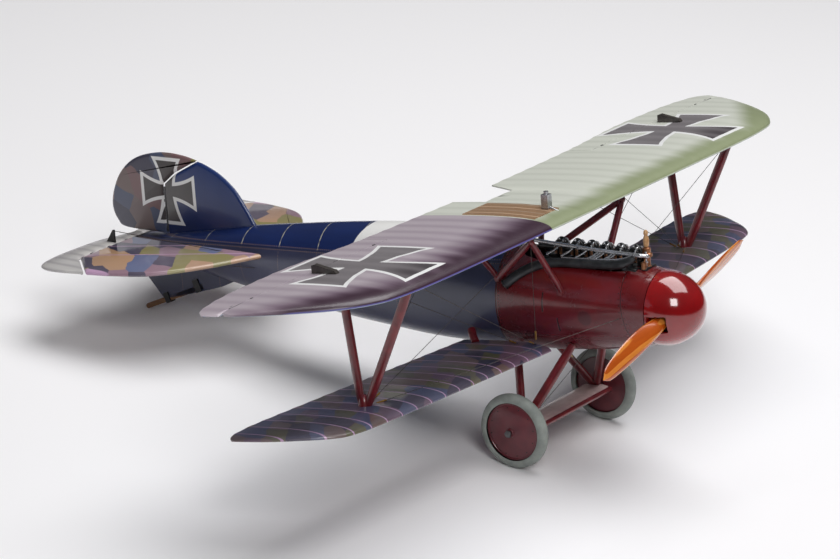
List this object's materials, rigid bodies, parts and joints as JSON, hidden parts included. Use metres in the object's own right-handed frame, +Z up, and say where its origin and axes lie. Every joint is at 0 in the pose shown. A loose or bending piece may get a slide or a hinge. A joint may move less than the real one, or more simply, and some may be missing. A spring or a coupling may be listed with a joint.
{
  "type": "propeller biplane display model",
  "caption": "Scale display model of an early fighter biplane with a wooden propeller, disc wheels, wire bracing and working control surfaces.",
  "frame": {"origin": "centre of the footprint box, on the surface that the wheels and tail skid stand on", "axes": "+X towards the nose, +Y to port, +Z up; the model sits tail down, so its thrust line is tilted about Y"},
  "size_m": [0.2262, 0.2828, 0.0863],
  "materials": {
    "red_lacquer": "gloss",
    "blue_fuselage": "satin varnish over blue stain",
    "maroon_paint": "satin",
    "bare_wood": "matte",
    "leather": "satin",
    "panel_wood": "gloss",
    "black_metal": "semi-gloss",
    "silver_metal": "brushed",
    "steel": "brushed",
    "brass": "aged",
    "laminated_wood": "gloss varnish",
    "celluloid": "clear",
    "upper_fabric": "doped fabric, mauve and green",
    "camouflage_fabric": "doped fabric, five-colour lozenges",
    "tyre_rubber": "matte",
    "wire": "dull"
  },
  "bodies": {
    "airframe": {"nose_ring": "red_lacquer", "cowl_left": "red_lacquer", "cowl_right": "red_lacquer", "fuselage_left": "blue_fuselage", "fuselage_right": "blue_fuselage", "cockpit_floor": "bare_wood", "pilot_seat": "leather", "control_stick": "black_metal", "instrument_panel": "panel_wood", "cockpit_coaming": "leather", "windscreen": "celluloid", "engine_bearers": "bare_wood", "crankcase": "black_metal", "cylinders": "black_metal", "cam_housing": "black_metal", "rocker_arms": "silver_metal", "exhaust_manifold": "black_metal", "water_rail": "silver_metal", "inlet_pipes": "silver_metal", "cam_drive": "brass", "upper_wing": "upper_fabric", "radiator": "brass", "header_tank": "silver_metal", "lower_wing_left": "camouflage_fabric", "lower_wing_right": "camouflage_fabric", "cabane_left": "maroon_paint", "cabane_right": "maroon_paint", "interplane_left": "maroon_paint", "interplane_right": "maroon_paint", "hinge_brackets": "steel", "crank_fairings": "black_metal", "tailplane_left": "camouflage_fabric", "tailplane_right": "camouflage_fabric", "fin": "blue_fuselage", "ventral_fin": "blue_fuselage", "tail_skid": "laminated_wood", "skid_fittings": "black_metal", "gear_left": "maroon_paint", "gear_right": "maroon_paint", "axle": "steel", "axle_fairing": "maroon_paint", "rigging_wires": "wire", "turnbuckles": "brass"},
    "propeller_assembly": {"propeller": "laminated_wood", "prop_shaft": "steel", "spinner": "red_lacquer", "spinner_backplate": "maroon_paint"},
    "left_wheel": {"wheel_left": "maroon_paint", "tyre_left": "tyre_rubber"},
    "right_wheel": {"wheel_right": "maroon_paint", "tyre_right": "tyre_rubber"},
    "left_aileron": {"aileron_left": "upper_fabric", "aileron_tube_left": "steel"},
    "right_aileron": {"aileron_right": "upper_fabric", "aileron_tube_right": "steel"},
    "elevator_assembly": {"elevator": "camouflage_fabric", "elevator_rod": "steel", "elevator_horns": "black_metal"},
    "rudder_assembly": {"rudder": "camouflage_fabric", "rudder_post": "steel"}
  },
  "joints": [
    {"name": "propeller_spin", "type": "hinge", "parent": "airframe", "child": "propeller_assembly", "pos_m": [0.10346, 0, 0.05498], "axis": [0.9866, 0, 0.1633], "continuous": true},
    {"name": "wheel_left_spin", "type": "hinge", "parent": "airframe", "child": "left_wheel", "pos_m": [0.06641, 0.0259, 0.01185], "axis": [0, 1, 0], "continuous": true},
    {"name": "wheel_right_spin", "type": "hinge", "parent": "airframe", "child": "right_wheel", "pos_m": [0.06641, -0.0259, 0.01185], "axis": [0, 1, 0], "continuous": true},
    {"name": "aileron_left_hinge", "type": "hinge", "parent": "airframe", "child": "left_aileron", "pos_m": [0.03591, 0.096, 0.07427], "axis": [0, 1, 0], "range_deg": [-20, 20]},
    {"name": "aileron_right_hinge", "type": "hinge", "parent": "airframe", "child": "right_aileron", "pos_m": [0.03591, -0.096, 0.07427], "axis": [0, 1, 0], "range_deg": [-20, 20]},
    {"name": "elevator_hinge", "type": "hinge", "parent": "airframe", "child": "elevator_assembly", "pos_m": [-0.09944, 0, 0.02545], "axis": [0, 1, 0], "range_deg": [-20, 10]},
    {"name": "rudder_hinge", "type": "hinge", "parent": "airframe", "child": "rudder_assembly", "pos_m": [-0.09045, 0, 0.03606], "axis": [-0.1633, 0, 0.9866], "range_deg": [-25, 25]}
  ],
  "couplings": [
    {"joint": "aileron_right_hinge", "follows": "aileron_left_hinge", "ratio": -1}
  ]
}
